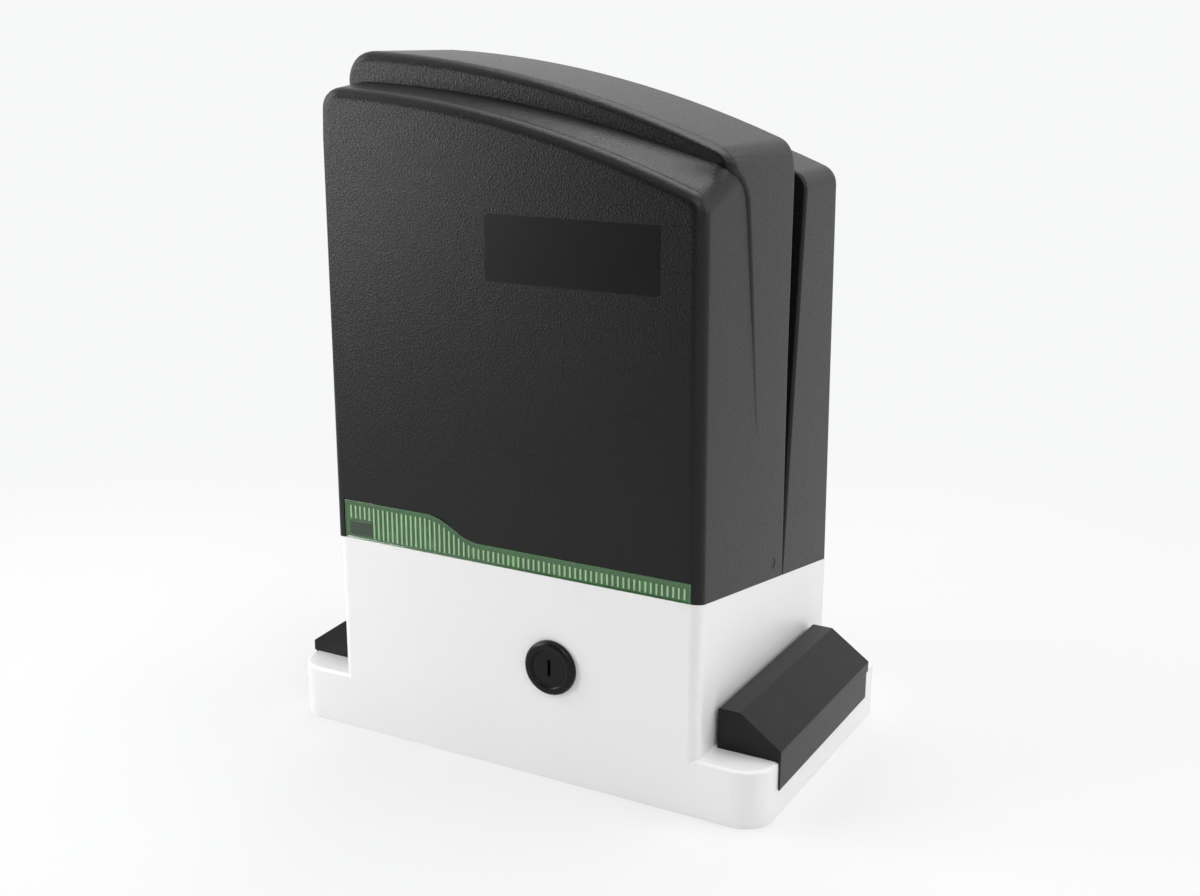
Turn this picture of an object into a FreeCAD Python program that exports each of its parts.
import FreeCAD, Part
import math
import os

import Sketcher
from FreeCAD import Placement, Rotation, Vector

# Sliding gate motor.
# Millimetres, +Z up. The origin is the middle of the pedestal's footprint on the mounting surface.
# The lock and the gate side view face -Y; the output shaft and its pinion leave through the rear wall, +Y.

os.makedirs("parts", exist_ok=True)
doc = FreeCAD.newDocument("sliding_gate_motor")

# ---------------------------------------------------------------------------------------------
# Driving dimensions
# ---------------------------------------------------------------------------------------------
SIZES = {
    # base casting
    "body_width": 216, "body_depth": 172, "body_corner": 6,
    "foot_width": 285, "foot_height": 30, "foot_corner": 16, "foot_edge": 2,
    "base_wall": 6, "base_floor": 6, "seam_front": 111, "seam_rear": 83,
    "lip_height": 12, "lip_thickness": 2.6, "joint_gap": 0.3,
    "anchor_pocket_width": 25, "anchor_pocket_length": 114, "anchor_floor": 10,
    "anchor_spacing_x": 249, "anchor_spacing_y": 84, "anchor_shift": -3.5,
    "anchor_slot_length": 20, "anchor_slot_width": 11,
    # cover
    "cover_wall": 3, "cover_draft": 2, "cover_lean": 3,
    "arch_radius": 600, "arch_top": 347.2, "arch_centre": -121,
    "slab_edge": 6.5, "slab_corner": 11,
    "ridge_rise": 13.7, "ridge_proud": 1.2, "ridge_rear": 19, "ridge_edge": 4.5, "ridge_corner": 13,
    "ridge_front_top": -41.5, "ridge_front_low": -12,
    "groove_depth": 9, "groove_rear_top": 37, "groove_rear_low": 19,
    "groove_top": 310, "groove_low": 122, "groove_edge": 2,
    # lens in the cover's lower front edge
    "lens_half": 103, "lens_tall": 21.5, "lens_low": 10.5, "lens_step": -33, "lens_step_width": 30,
    "lens_thickness": 2.6, "lens_rib_pitch": 3, "lens_rib_width": 1.2, "lens_rib_depth": 1,
    # cover screws
    "cover_screw_y": 3.2, "cover_screw_rise": 8.4, "cover_screw_hole": 6, "cover_screw_shank": 4,
    # anchor covers
    "cap_front": -67, "cap_rear": 60, "cap_gap": 2, "cap_top": 51.6, "cap_flat": 12,
    "cap_lip": 36, "cap_flap_low": 14.5, "cap_wall": 2.2, "cap_overhang": 1.6,
    # release lock and output line
    "axis_x": 25.6, "axis_z": 62.6,
    "bezel_radius": 14.5, "bezel_proud": 3.4, "bezel_floor": 1, "plug_radius": 9.8, "plug_shank": 6,
    "barrel_radius": 9.5,
    "barrel_length": 20, "lock_nut_thickness": 4, "cam_radius": 13, "cam_length": 15, "cam_lift": 4.5,
    "shaft_radius": 10, "shaft_front": -28, "shaft_rear": 118, "running_gap": 0.04,
    "bearing_radius": 21, "bearing_width": 12, "front_bearing_y": -29, "rear_bearing_y": 56,
    "seal_radius": 15, "seal_width": 7, "rod_radius": 4,
    "clutch_radius": 19, "clutch_length": 16, "clutch_pin_y": 20, "clutch_pin_radius": 2.5,
    "dog_height": 4, "dog_width": 9, "dog_inner": 12, "dog_length": 6, "wheel_hub": 9,
    "spring_radius": 13.5, "spring_wire": 1, "spring_length": 17.5, "spring_collar_y": 46,
    "key_width": 6, "key_depth": 3.5, "pinion_bolt_radius": 5, "worm_bearing_low": 24,
    # worm gearing
    "worm_module": 2, "wheel_teeth": 30, "wheel_width": 16, "worm_pitch_radius": 11, "worm_turns": 6,
    "gear_backlash": 0.3,
    # pinion
    "pinion_module": 4, "pinion_teeth": 16, "pinion_width": 26, "pinion_front": 90,
    # gearbox
    "gearbox_wall": 6, "gearbox_screw_radius": 2.5, "gearbox_front": -26, "gearbox_rear": 22,
    "gearbox_top": 112, "lid_thickness": 8,
    "neck_radius": 27, "neck_rear": 79.7,
    # motor
    "motor_side": 98, "motor_corner": 10, "bell_height": 20, "stator_height": 70, "rotor_radius": 28,
    "air_gap": 0.6, "motor_shaft_radius": 7.5, "small_bearing_radius": 17.5, "small_bearing_width": 11,
    "motor_bolt_offset": 42, "motor_bolt_radius": 2.5,
    # equipment inside the cover
    "chassis_z": 99, "chassis_thickness": 2.5, "chassis_width": 196, "chassis_depth": 150,
    "post_x": 90, "post_y": 62, "post_radius": 6, "chassis_flange": 22,
    "capacitor_radius": 15.5, "capacitor_height": 78, "capacitor_x": -84, "capacitor_y": -14,
    "transformer_x": 72, "transformer_y": -12, "transformer_width": 48, "transformer_depth": 40,
    "transformer_height": 48,
    "tray_width": 170, "tray_height": 130, "tray_depth": 14, "tray_wall": 2, "tray_front": -75,
    "tray_lift": 8, "board_thickness": 1.6,
    "grommet_x": -70, "grommet_y": -40, "grommet_hole": 16, "grommet_bore": 10, "grommet_flange": 3,
}

sheet = doc.addObject("Spreadsheet::Sheet", "Dims")
for row, (alias, number) in enumerate(SIZES.items(), start=1):
    sheet.set(f"A{row}", alias)
    sheet.set(f"B{row}", str(number))
    sheet.setAlias(f"B{row}", alias)
doc.recompute()


class Size:
    """A length kept twice: as an expression on the sheet and as its present value."""

    def __init__(self, text, value):
        self.text = text
        self.value = value

    def joined(self, sign, other, value):
        return Size(f"({self.text} {sign} {size_of(other).text})", value)

    def __add__(self, other):
        return self.joined("+", other, self.value + size_of(other).value)

    def __radd__(self, other):
        return size_of(other) + self

    def __sub__(self, other):
        return self.joined("-", other, self.value - size_of(other).value)

    def __rsub__(self, other):
        return size_of(other) - self

    def __mul__(self, other):
        return self.joined("*", other, self.value * size_of(other).value)

    def __rmul__(self, other):
        return size_of(other) * self

    def __truediv__(self, other):
        return self.joined("/", other, self.value / size_of(other).value)

    def __neg__(self):
        return size_of(0) - self


def size_of(number):
    return number if isinstance(number, Size) else Size(repr(number), float(number))


def dim(alias):
    return Size(f"Dims.{alias}", float(sheet.get(alias)))


nodes = []


def node(feature, label):
    """Names a finished sub-part and lists it for export."""
    feature.Label = label
    nodes.append(feature)
    return feature


# ---------------------------------------------------------------------------------------------
# Modelling helpers
# ---------------------------------------------------------------------------------------------
PLANES = {"top": "XY_Plane", "front": "XZ_Plane", "side": "YZ_Plane"}


def bind(feature, path, size):
    feature.setExpression(path, size_of(size).text)


def new_body(label, place=(0, 0, 0)):
    body = doc.addObject("PartDesign::Body", label)
    body.AllowCompound = True
    for axis, size in zip("xyz", place):
        bind(body, f"Placement.Base.{axis}", size)
    return body


def new_sketch(body, label, view, height=0):
    """A sketch on an origin plane: top looks along Z, front along Y and side along X.
    height is the plane's place along +Z, +Y or +X."""
    sketch = body.newObject("Sketcher::SketchObject", label)
    plane = next(f for f in body.Origin.OriginFeatures if f.Role == PLANES[view])
    sketch.AttachmentSupport = [(plane, "")]
    sketch.MapMode = "FlatFace"
    normal = size_of(height) if view != "front" else -size_of(height)
    bind(sketch, "AttachmentOffset.Base.z", normal)
    return sketch


def fix_point(sketch, geometry, point, place, name):
    for kind, size, letter in (("DistanceX", place[0], "x"), ("DistanceY", place[1], "y")):
        number = sketch.addConstraint(
            Sketcher.Constraint(kind, -1, 1, geometry, point, size_of(size).value))
        sketch.renameConstraint(number, f"{name}{letter}")
        bind(sketch, f"Constraints.{name}{letter}", size)


def draw_polygon(sketch, points, name="p"):
    values = [Vector(size_of(a).value, size_of(b).value, 0) for a, b in points]
    first = sketch.GeometryCount
    count = len(points)
    for index in range(count):
        sketch.addGeometry(Part.LineSegment(values[index], values[(index + 1) % count]), False)
    for index in range(count):
        following = first + (index + 1) % count
        sketch.addConstraint(Sketcher.Constraint("Coincident", first + index, 2, following, 1))
    for index, place in enumerate(points):
        fix_point(sketch, first + index, 1, place, f"{name}{index}")


def draw_rectangle(sketch, low, high, name="p"):
    draw_polygon(sketch, [low, (high[0], low[1]), high, (low[0], high[1])], name)


def draw_circle(sketch, centre, radius, name="c"):
    middle = Vector(size_of(centre[0]).value, size_of(centre[1]).value, 0)
    number = sketch.addGeometry(Part.Circle(middle, Vector(0, 0, 1), size_of(radius).value), False)
    fix_point(sketch, number, 3, centre, name)
    limit = sketch.addConstraint(Sketcher.Constraint("Radius", number, size_of(radius).value))
    sketch.renameConstraint(limit, f"{name}r")
    bind(sketch, f"Constraints.{name}r", radius)


def along(feature, view, length):
    """Lets a pad or pocket run towards +Z, +Y or +X for a length."""
    bind(feature, "Length", length)
    feature.Reversed = (view == "front") != feature.isDerivedFrom("PartDesign::Pocket")


def pad(body, label, view, start, end, draw):
    sketch = new_sketch(body, f"{label}_sketch", view, start)
    draw(sketch)
    feature = body.newObject("PartDesign::Pad", label)
    feature.Profile = sketch
    along(feature, view, size_of(end) - start)
    doc.recompute()
    return feature


def pocket(body, label, view, start, end, draw):
    sketch = new_sketch(body, f"{label}_sketch", view, start)
    draw(sketch)
    feature = body.newObject("PartDesign::Pocket", label)
    feature.Profile = sketch
    along(feature, view, size_of(end) - start)
    doc.recompute()
    return feature


def round_edges(body, label, radius, wanted, kind="Fillet"):
    """Fillets or chamfers the edges of the body's last feature that a test picks."""
    base = body.Tip
    names = [f"Edge{i}" for i, edge in enumerate(base.Shape.Edges, start=1) if wanted(edge)]
    feature = body.newObject(f"PartDesign::{kind}", label)
    feature.Base = (base, names)
    bind(feature, "Radius" if kind == "Fillet" else "Size", radius)
    doc.recompute()
    return feature


def runs_along(edge, axis):
    """True for a straight edge along an axis, with a little room for draft."""
    first, last = edge.Vertexes[0].Point, edge.Vertexes[-1].Point
    step = last - first
    return step.Length > 1e-6 and abs(step.dot(axis)) > 0.995 * step.Length


def revolve(body, label, axis_view, axis, draw):
    """Turns a half outline about the sketch's own H or V axis."""
    sketch = new_sketch(body, f"{label}_sketch", axis_view)
    draw(sketch)
    feature = body.newObject("PartDesign::Revolution", label)
    feature.Profile = sketch
    feature.ReferenceAxis = (sketch, [axis])
    feature.Angle = 360
    doc.recompute()
    return feature


def part_box(label, low, high):
    box = doc.addObject("Part::Box", label)
    for field, first, last in zip(("Length", "Width", "Height"), low, high):
        bind(box, field, size_of(last) - first)
    for axis, size in zip("xyz", low):
        bind(box, f"Placement.Base.{axis}", size)
    return box


TURNS = {
    "x": Rotation(Vector(0, 1, 0), 90),
    "y": Rotation(Vector(1, 0, 0), -90),
    "z": Rotation(),
}


def part_cylinder(label, start, direction, radius, length):
    """A cylinder that starts at a point and runs towards +X, +Y or +Z."""
    cylinder = doc.addObject("Part::Cylinder", label)
    bind(cylinder, "Radius", radius)
    bind(cylinder, "Height", length)
    cylinder.Placement = Placement(Vector(), TURNS[direction])
    for axis, size in zip("xyz", start):
        bind(cylinder, f"Placement.Base.{axis}", size)
    return cylinder


def join(label, shapes):
    fused = doc.addObject("Part::MultiFuse", label)
    fused.Shapes = shapes
    return fused


def cut(label, base, tools):
    result = doc.addObject("Part::Cut", label)
    result.Base = base
    result.Tool = tools[0] if len(tools) == 1 else join(f"{label}_tools", tools)
    return result


def group(label, members):
    compound = doc.addObject("Part::Compound", label)
    compound.Links = members
    return compound


def part_ring(label, start, direction, outer, inner, length):
    return cut(label, part_cylinder(f"{label}_outside", start, direction, outer, length),
               [part_cylinder(f"{label}_bore", start, direction, inner, length)])


def screw(label, seat, direction, head_radius, head_height, shank_radius, shank_length, reverse=False):
    """A headed screw. Its seat is under the head; the shank runs against the direction of the head."""
    moves = dict(x=0, y=1, z=2)
    along_axis = moves[direction]
    head_start = list(seat)
    shank_start = list(seat)
    if reverse:
        head_start[along_axis] = size_of(seat[along_axis]) - head_height
    else:
        shank_start[along_axis] = size_of(seat[along_axis]) - shank_length
    head = part_cylinder(f"{label}_head", head_start, direction, head_radius, head_height)
    shank = part_cylinder(f"{label}_shank", shank_start, direction, shank_radius, shank_length)
    return join(label, [head, shank])


# ---------------------------------------------------------------------------------------------
# Shared places, all worked out from the sheet
# ---------------------------------------------------------------------------------------------
half_width = dim("body_width") / 2
half_depth = dim("body_depth") / 2
seam_slope = (dim("seam_front") - dim("seam_rear")) / dim("body_depth")
axis_x, axis_z = dim("axis_x"), dim("axis_z")
joint_gap = dim("joint_gap")
running_gap = dim("running_gap")

wheel_radius = dim("worm_module") * dim("wheel_teeth") / 2
worm_x = axis_x - wheel_radius - dim("worm_pitch_radius")
worm_outer = dim("worm_pitch_radius") + dim("worm_module")
cap_inner_x = half_width + dim("cap_gap")
foot_half = dim("foot_width") / 2


def seam_at(y):
    """Height of the slanting joint between base and cover at a depth."""
    return dim("seam_front") - seam_slope * (size_of(y) + half_depth)


# ---------------------------------------------------------------------------------------------
# Base casting
# ---------------------------------------------------------------------------------------------
def slanted_block(body, label, half_x, front_y, rear_y, low_z, extra):
    """A block whose top runs parallel to the seam, padded across the width."""
    outline = [(front_y, low_z), (rear_y, low_z),
               (rear_y, seam_at(rear_y) + extra), (front_y, seam_at(front_y) + extra)]
    return pad(body, label, "side", -half_x, half_x, lambda sketch: draw_polygon(sketch, outline))


def anchor_places():
    for side in (-1, 1):
        for end in (-1, 1):
            yield (dim("anchor_spacing_x") / 2 * side,
                   dim("anchor_shift") + dim("anchor_spacing_y") / 2 * end)


def post_places():
    for side in (-1, 1):
        for end in (-1, 1):
            yield dim("post_x") * side, dim("post_y") * end


def anchor_slots(sketch):
    """Four slots, each with two straight sides and two round ends."""
    reach = (dim("anchor_slot_length") - dim("anchor_slot_width")) / 2
    for number, (x, y) in enumerate(anchor_places()):
        draw_slot(sketch, x, y, reach, dim("anchor_slot_width") / 2, f"s{number}")


def draw_slot(sketch, x, y, reach, radius, name):
    centre = Vector(x.value, y.value, 0)
    step = Vector(reach.value, 0, 0)
    width = Vector(0, radius.value, 0)
    up = Vector(0, 0, 1)
    right = Part.ArcOfCircle(Part.Circle(centre + step, up, radius.value), -math.pi / 2, math.pi / 2)
    left = Part.ArcOfCircle(Part.Circle(centre - step, up, radius.value), math.pi / 2, 1.5 * math.pi)
    top = Part.LineSegment(centre + step + width, centre - step + width)
    bottom = Part.LineSegment(centre - step - width, centre + step - width)
    first = sketch.GeometryCount
    for curve in (right, top, left, bottom):
        sketch.addGeometry(curve, False)
    for index in range(4):
        following = first + (index + 1) % 4
        sketch.addConstraint(Sketcher.Constraint("Tangent", first + index, 2, following, 1))
    fix_point(sketch, first, 3, (x + reach, y), f"{name}a")
    fix_point(sketch, first + 2, 3, (x - reach, y), f"{name}b")
    limit = sketch.addConstraint(Sketcher.Constraint("Radius", first, radius.value))
    sketch.renameConstraint(limit, f"{name}r")
    bind(sketch, f"Constraints.{name}r", radius)


def make_base_housing():
    body = new_body("base_housing")
    pad(body, "foot", "top", 0, dim("foot_height"), lambda sketch: draw_rectangle(
        sketch, (-foot_half, -half_depth), (foot_half, half_depth)))
    round_edges(body, "foot_corners", dim("foot_corner"), lambda e: runs_along(e, Vector(0, 0, 1)))
    top_edges = lambda e: all(v.Z > SIZES["foot_height"] - 0.01 for v in e.Vertexes)
    round_edges(body, "foot_top_edge", dim("foot_edge"), top_edges)
    slanted_block(body, "pedestal", half_width, -half_depth, half_depth, 0, 0)
    corner_edge = lambda e: runs_along(e, Vector(0, 0, 1)) and e.Length > SIZES["foot_height"]
    round_edges(body, "pedestal_corners", dim("body_corner"), corner_edge)
    lip_x = half_width - dim("cover_wall") - joint_gap
    lip_y = half_depth - dim("cover_wall") - joint_gap
    slanted_block(body, "lip", lip_x, -lip_y, lip_y, dim("base_floor"), dim("lip_height"))
    inside_x = lip_x - dim("lip_thickness")
    inside_y = lip_y - dim("lip_thickness")
    above = dim("seam_front") + dim("lip_height") + 1
    pocket(body, "inside", "top", dim("base_floor"), above, lambda sketch: draw_rectangle(
        sketch, (-inside_x, -inside_y), (inside_x, inside_y)))
    pocket(body, "lens_gap", "top", dim("seam_front") - 4, above, lambda sketch: draw_rectangle(
        sketch, (-dim("lens_half"), -half_depth + dim("cover_wall")),
        (dim("lens_half"), -inside_y + 1)))
    cut_anchor_recesses(body)
    cut_wall_holes(body, above)
    raise_posts(body)
    return node(body, "base_housing")


def cut_anchor_recesses(body):
    half = dim("anchor_pocket_width") / 2
    reach = dim("anchor_pocket_length") / 2
    middle = dim("anchor_spacing_x") / 2
    shift = dim("anchor_shift")

    def recesses(sketch):
        for name, side in (("l", -1), ("r", 1)):
            draw_rectangle(sketch, (middle * side - half, shift - reach),
                           (middle * side + half, shift + reach), name)
    pocket(body, "anchor_recesses", "top", dim("anchor_floor"), dim("foot_height") + 1, recesses)
    pocket(body, "anchor_slots", "top", 0, dim("anchor_floor") + 1, anchor_slots)


def cut_wall_holes(body, above):
    wall = dim("base_wall") + 1
    pocket(body, "lock_hole", "front", -half_depth, -half_depth + wall + 1, lambda sketch: draw_circle(
        sketch, (axis_x, axis_z), dim("barrel_radius") + joint_gap))
    pocket(body, "shaft_hole", "front", half_depth - wall - 1, half_depth, lambda sketch: draw_circle(
        sketch, (axis_x, axis_z), dim("seal_radius")))
    pocket(body, "cable_hole", "top", 0, dim("base_floor"), lambda sketch: draw_circle(
        sketch, (dim("grommet_x"), dim("grommet_y")), dim("grommet_hole")))
    slot = dim("cover_screw_shank") / 2 + joint_gap
    screw_y = dim("cover_screw_y")
    floor_z = seam_at(screw_y) + dim("cover_screw_rise") - slot
    pocket(body, "screw_slots", "side", -half_width, half_width, lambda sketch: draw_rectangle(
        sketch, (screw_y - slot, floor_z), (screw_y + slot, above)))


def raise_posts(body):
    """Four columns that carry the chassis plate, each with a pilot hole."""
    pilot = 2

    def columns(sketch):
        for number, place in enumerate(post_places()):
            draw_circle(sketch, place, dim("post_radius"), f"c{number}")

    def pilots(sketch):
        for number, place in enumerate(post_places()):
            draw_circle(sketch, place, pilot, f"c{number}")
    pad(body, "posts", "top", dim("base_floor"), dim("chassis_z"), columns)
    pocket(body, "post_pilots", "top", dim("chassis_z") - 20, dim("chassis_z"), pilots)
    pocket(body, "gearbox_threads", "top", 0, dim("base_floor"),
           circles(list(gearbox_foot_places()), dim("gearbox_screw_radius") + running_gap))


# ---------------------------------------------------------------------------------------------
# Cover: three moulded lobes over a hollow core
# ---------------------------------------------------------------------------------------------
def lobe(label, front_y, rear_y, inset, rise, proud, draft):
    """A prism with the arched, drafted front outline. inset shrinks it, rise and proud enlarge it."""
    low_z = dim("seam_rear") - 6
    low_x = half_width - inset + proud
    high_x = low_x - draft
    body = new_body(label)
    sketch = new_sketch(body, f"{label}_outline", "front", front_y)
    centre = (dim("arch_centre"), dim("arch_top") - dim("arch_radius"))
    radius = dim("arch_radius") - inset + rise
    reach = [math.sqrt(radius.value ** 2 - (side * high_x.value - centre[0].value) ** 2) for side in (1, -1)]
    right_top = Vector(high_x.value, centre[1].value + reach[0], 0)
    left_top = Vector(-high_x.value, centre[1].value + reach[1], 0)
    left_low = Vector(-low_x.value, low_z.value, 0)
    right_low = Vector(low_x.value, low_z.value, 0)
    middle = Vector(centre[0].value, centre[1].value, 0)
    circle = Part.Circle(middle, Vector(0, 0, 1), radius.value)
    arch = Part.ArcOfCircle(circle, circle.parameter(right_top), circle.parameter(left_top))
    curves = (Part.LineSegment(left_low, right_low), Part.LineSegment(right_low, right_top), arch,
              Part.LineSegment(left_top, left_low))
    for curve in curves:
        sketch.addGeometry(curve, False)
    for index in range(4):
        sketch.addConstraint(Sketcher.Constraint("Coincident", index, 2, (index + 1) % 4, 1))
    fix_point(sketch, 0, 1, (-low_x, low_z), "a")
    fix_point(sketch, 0, 2, (low_x, low_z), "b")
    fix_point(sketch, 2, 3, centre, "m")
    for point, size, name in ((1, high_x, "rightx"), (2, -high_x, "leftx")):
        number = sketch.addConstraint(Sketcher.Constraint("DistanceX", -1, 1, 2, point, size.value))
        sketch.renameConstraint(number, name)
        bind(sketch, f"Constraints.{name}", size)
    limit = sketch.addConstraint(Sketcher.Constraint("Radius", 2, radius.value))
    sketch.renameConstraint(limit, "archr")
    bind(sketch, "Constraints.archr", radius)
    feature = body.newObject("PartDesign::Pad", f"{label}_pad")
    feature.Profile = sketch
    along(feature, "front", size_of(rear_y) - front_y)
    doc.recompute()
    return body


def side_cut(body, label, points):
    """Removes a side-view polygon over the whole width."""
    pocket(body, label, "side", -half_width - 20, half_width + 20, lambda sketch: draw_polygon(
        sketch, points))


def round_top_corners(body, label, radius):
    is_corner = lambda e: runs_along(e, Vector(0, 1, 0)) and e.Vertexes[0].Z > SIZES["seam_front"] + 50
    round_edges(body, f"{label}_corners", radius, is_corner)


def round_end(body, label, radius, low, high):
    """Fillets the outline of an end face, but not the edge along its foot.
    low and high are two (y, z) points of that face, seen from the side."""
    start = Vector(0, size_of(low[0]).value, size_of(low[1]).value)
    slope = Vector(0, size_of(high[0]).value, size_of(high[1]).value) - start
    normal = Vector(1, 0, 0).cross(slope).normalize()
    slack = 0.02

    def on_outline(edge):
        ends = [vertex.Point for vertex in edge.Vertexes]
        return (all(abs((point - start).dot(normal)) < slack for point in ends)
                and max(point.z for point in ends) > SIZES["seam_rear"])
    round_edges(body, label, radius, on_outline)


def front_lobe():
    body = lobe("front_lobe", -half_depth, dim("ridge_rear") - 1, 0, 0, 0, dim("cover_draft"))
    round_top_corners(body, "front_lobe", dim("slab_corner"))
    round_end(body, "front_lobe_edge", dim("slab_edge"), (-half_depth, 0), (-half_depth, 1))
    rear_y = dim("ridge_rear") - 1
    round_end(body, "front_lobe_rear_edge", dim("groove_edge"), (rear_y, 0), (rear_y, 1))
    return body


def ridge_lobe():
    """The raised middle lobe. Its front face leans, so that its sides widen towards the top."""
    body = lobe("ridge_lobe", -half_depth, dim("ridge_rear"), 0, dim("ridge_rise"),
                dim("ridge_proud") - dim("cover_draft"), 0)
    round_top_corners(body, "ridge_lobe", dim("ridge_corner"))
    lean = (dim("ridge_front_top") - dim("ridge_front_low")) / (dim("groove_top") - dim("groove_low"))
    low_z = dim("seam_rear") - 7
    high_z = dim("arch_top") + dim("ridge_rise") + 1
    front_low = dim("ridge_front_low") - lean * (dim("groove_low") - low_z)
    front_high = dim("ridge_front_top") + lean * (high_z - dim("groove_top"))
    side_cut(body, "ridge_front", [(-half_depth - 1, low_z), (front_low, low_z), (front_high, high_z),
                                   (-half_depth - 1, high_z)])
    round_end(body, "ridge_front_edge", dim("ridge_edge"), (front_low, low_z), (front_high, high_z))
    round_end(body, "ridge_rear_edge", dim("ridge_edge"), (dim("ridge_rear"), 0), (dim("ridge_rear"), 1))
    return body


def groove_line(shift):
    """The rear lobe's leaning front face, from its foot to above its top, moved back by a shift."""
    lean = (dim("groove_rear_top") - dim("groove_rear_low")) / (dim("groove_top") - dim("groove_low"))
    low_z = dim("seam_rear") - 7
    high_z = dim("arch_top") + 1
    low = (dim("groove_rear_low") - lean * (dim("groove_low") - low_z) + shift, low_z)
    high = (dim("groove_rear_top") + lean * (high_z - dim("groove_top")) + shift, high_z)
    return low, high


def rear_line(lean, inset):
    """The rear face, from its foot to above its top, leaning forward towards the top."""
    rear_y = half_depth - inset
    return (rear_y, dim("seam_rear") - 7), (rear_y - lean, dim("arch_top") + 1)


def lean_rear_face(body, label, inset):
    low, high = rear_line(dim("cover_lean"), inset)
    behind = half_depth + 1
    side_cut(body, label, [low, high, (behind, high[1]), (behind, low[1])])


def rear_lobe():
    body = lobe("rear_lobe", 0, half_depth, 0, 0, 0, dim("cover_draft"))
    round_top_corners(body, "rear_lobe", dim("slab_corner"))
    lean_rear_face(body, "rear_lean", 0)
    round_end(body, "rear_edge", dim("slab_edge"), *rear_line(dim("cover_lean"), 0))
    low, high = groove_line(0)
    side_cut(body, "rear_front", [(-1, low[1]), low, high, (-1, high[1])])
    round_end(body, "rear_front_edge", dim("groove_edge"), low, high)
    return body


def cover_hollow():
    """The inside of the three lobes and of the core that joins them, one wall thickness smaller."""
    wall = dim("cover_wall")
    front = lobe("front_hollow", -half_depth + wall, dim("ridge_rear") - 1 - wall, wall, 0, 0,
                 dim("cover_draft"))
    ridge = lobe("ridge_hollow", dim("ridge_front_low"), dim("ridge_rear") - 1 - wall, wall,
                 dim("ridge_rise"), -dim("cover_draft"), 0)
    rear = lobe("rear_hollow", 0, half_depth - wall, wall, 0, 0, dim("cover_draft"))
    lean_rear_face(rear, "rear_hollow_lean", wall)
    low, high = groove_line(wall)
    side_cut(rear, "rear_hollow_front", [(-1, low[1]), low, high, (-1, high[1])])
    core = lobe("core_hollow", 0, half_depth / 2, dim("groove_depth") + wall, 0, 0, dim("cover_draft"))
    foot = part_box("foot_hollow", (-half_width + wall, -half_depth + wall, dim("seam_rear") - 8),
                    (half_width - wall, half_depth - wall, dim("seam_front") + dim("lip_height") + 1))
    return join("cover_hollow", [front, ridge, rear, core, foot])


def seam_wedge():
    """Everything below the slanting seam."""
    body = new_body("seam_wedge")
    front_y, rear_y = -half_depth - 2, half_depth + 2
    low_z = dim("seam_rear") - 20
    outline = [(front_y, low_z), (rear_y, low_z), (rear_y, seam_at(rear_y)), (front_y, seam_at(front_y))]
    pad(body, "wedge", "side", -half_width - 5, half_width + 5, lambda sketch: draw_polygon(sketch, outline))
    return body


def lens_outline(sketch, spare):
    """Tall at the left, then an S-bend of two arcs down to a narrow strip. spare widens it."""
    half = dim("lens_half") + spare
    foot = dim("seam_front") - 6
    tall = dim("seam_front") + dim("lens_tall") + spare
    low = dim("seam_front") + dim("lens_low") + spare
    start = dim("lens_step") - dim("lens_step_width") / 2
    end = dim("lens_step") + dim("lens_step_width") / 2
    middle = (dim("lens_step"), (tall + low) / 2)
    drop = (tall - low).value / 2
    run = dim("lens_step_width").value / 2
    radius = (run ** 2 + drop ** 2) / (2 * drop)
    turn = math.asin(run / radius)
    upper = Part.Circle(Vector(start.value, tall.value - radius, 0), Vector(0, 0, 1), radius)
    lower = Part.Circle(Vector(end.value, low.value + radius, 0), Vector(0, 0, 1), radius)
    right = math.pi / 2
    corners = [Vector(a.value, b.value, 0) for a, b in (
        (-half, tall), (-half, foot), (half, foot), (half, low), (end, low), middle, (start, tall))]
    curves = [Part.LineSegment(corners[0], corners[1]), Part.LineSegment(corners[1], corners[2]),
              Part.LineSegment(corners[2], corners[3]), Part.LineSegment(corners[3], corners[4]),
              Part.ArcOfCircle(lower, 3 * right - turn, 3 * right),
              Part.ArcOfCircle(upper, right - turn, right),
              Part.LineSegment(corners[6], corners[0])]
    for curve in curves:
        sketch.addGeometry(curve, False)
    joints = ((0, 2, 1, 1), (1, 2, 2, 1), (2, 2, 3, 1), (3, 2, 4, 2),
              (4, 1, 5, 1), (5, 2, 6, 1), (6, 2, 0, 1))
    for first, end_point, second, start_point in joints:
        sketch.addConstraint(Sketcher.Constraint("Coincident", first, end_point, second, start_point))
    fix_point(sketch, 0, 1, (-half, tall), "a")
    fix_point(sketch, 1, 1, (-half, foot), "b")
    fix_point(sketch, 2, 1, (half, foot), "c")
    fix_point(sketch, 3, 1, (half, low), "d")
    fix_point(sketch, 3, 2, (end, low), "e")
    fix_point(sketch, 5, 1, middle, "f")
    fix_point(sketch, 5, 2, (start, tall), "g")
    for arc, name, centre_x in ((4, "lowc", end), (5, "highc", start)):
        number = sketch.addConstraint(Sketcher.Constraint("DistanceX", -1, 1, arc, 3, centre_x.value))
        sketch.renameConstraint(number, name)
        bind(sketch, f"Constraints.{name}", centre_x)


def lens_block(label, spare, front_y, rear_y):
    body = new_body(label)
    pad(body, f"{label}_pad", "front", front_y, rear_y, lambda sketch: lens_outline(sketch, spare))
    return body


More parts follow.
